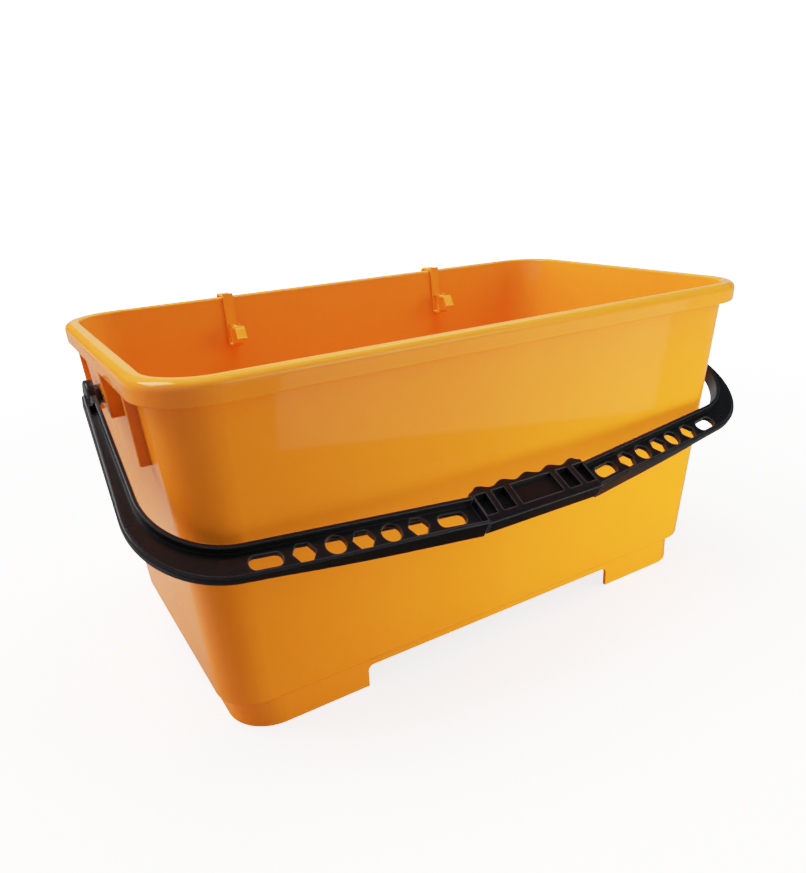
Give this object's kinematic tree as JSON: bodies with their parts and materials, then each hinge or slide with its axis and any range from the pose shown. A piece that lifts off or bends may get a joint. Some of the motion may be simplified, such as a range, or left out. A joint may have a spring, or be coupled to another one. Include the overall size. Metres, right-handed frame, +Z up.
{
  "type": "window cleaning bucket",
  "caption": "Long rectangular cleaning bucket with drafted walls, a rolled rim, corner feet, a swinging bail handle with a finger grip, and clips on the rim that hold tools.",
  "frame": {"origin": "middle of the four feet, on the ground the bucket stands on", "axes": "+X along the bucket to its right end, -Y to the front, where the handle hangs at rest, +Z up"},
  "size_m": [0.5282, 0.3184, 0.258],
  "materials": {
    "bucket_plastic": "glossy amber yellow moulded polypropylene",
    "handle_plastic": "satin black moulded plastic",
    "pivot_plastic": "satin black moulded plastic",
    "clip_plastic": "semi-gloss orange yellow moulded plastic"
  },
  "bodies": {
    "bucket": {"bucket_body": "bucket_plastic"},
    "handle": {"handle_arm_left": "handle_plastic", "handle_arm_right": "handle_plastic", "handle_grip": "handle_plastic", "pivot_pin_left": "pivot_plastic", "pivot_pin_right": "pivot_plastic", "pivot_bush_left": "pivot_plastic", "pivot_bush_right": "pivot_plastic"},
    "clip_left": {"rim_clip_left": "clip_plastic"},
    "clip_right": {"rim_clip_right": "clip_plastic"},
    "lever_left": {"clip_lever_left": "clip_plastic"},
    "lever_right": {"clip_lever_right": "clip_plastic"}
  },
  "joints": [
    {"name": "handle_swing", "type": "hinge", "parent": "bucket", "child": "handle", "pos_m": [0, 0, 0.221], "axis": [-1, 0, 0], "range_deg": [-3.5, 241]},
    {"name": "clip_left_slide", "type": "slide", "parent": "bucket", "child": "clip_left", "axis": [1, 0, 0], "range_m": [-0.05, 0.1]},
    {"name": "clip_right_slide", "type": "slide", "parent": "bucket", "child": "clip_right", "axis": [1, 0, 0], "range_m": [-0.1, 0.05]},
    {"name": "lever_left_lift", "type": "hinge", "parent": "clip_left", "child": "lever_left", "pos_m": [-0.11, 0.1263, 0.22971], "axis": [-1, 0, 0], "range_deg": [0, 60]},
    {"name": "lever_right_lift", "type": "hinge", "parent": "clip_right", "child": "lever_right", "pos_m": [0.11, 0.1263, 0.22971], "axis": [-1, 0, 0], "range_deg": [0, 60]}
  ]
}
